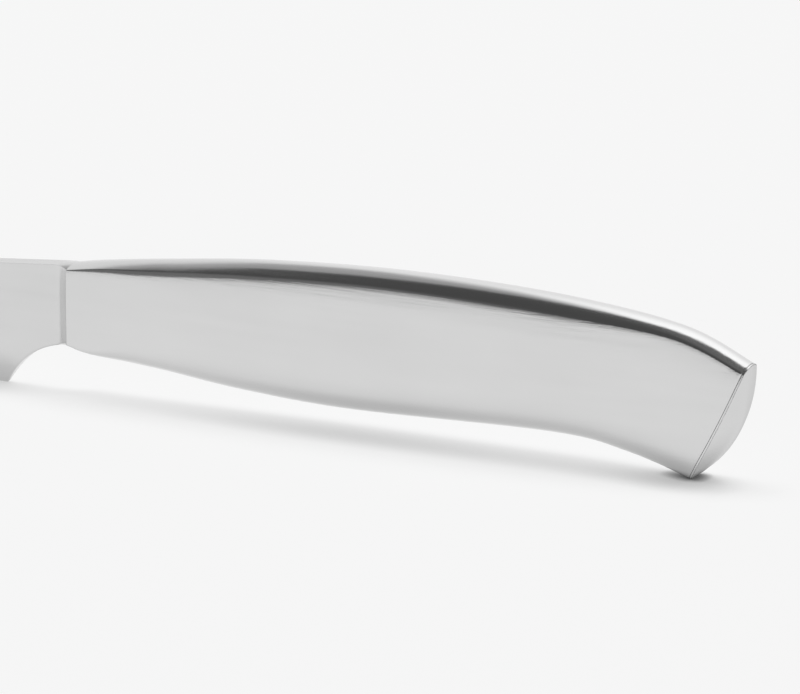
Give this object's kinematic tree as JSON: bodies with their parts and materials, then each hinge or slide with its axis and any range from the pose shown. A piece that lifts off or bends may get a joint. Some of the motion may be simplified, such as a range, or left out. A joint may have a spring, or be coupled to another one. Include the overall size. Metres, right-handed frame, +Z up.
{
  "type": "steak knife",
  "caption": "Table steak knife in stainless steel: serrated forged blade flaring into a hollow handle that swells for the palm and ends in a slanted, domed butt plate.",
  "frame": {"origin": "middle of the knife's length and thickness, on the table it stands on with its spine up", "axes": "+X along the knife from the blade's tip to the butt, +Y across the thickness, +Z up from the table to the spine"},
  "size_m": [0.2304, 0.0094, 0.0261],
  "materials": {
    "blade_steel": "satin",
    "handle_steel": "satin",
    "cap_steel": "satin",
    "filler_cement": "matte"
  },
  "bodies": {
    "root": {"blade": "blade_steel", "handle_shell_left": "handle_steel", "handle_shell_right": "handle_steel", "butt_cap": "cap_steel", "handle_filler": "filler_cement"}
  },
  "joints": []
}
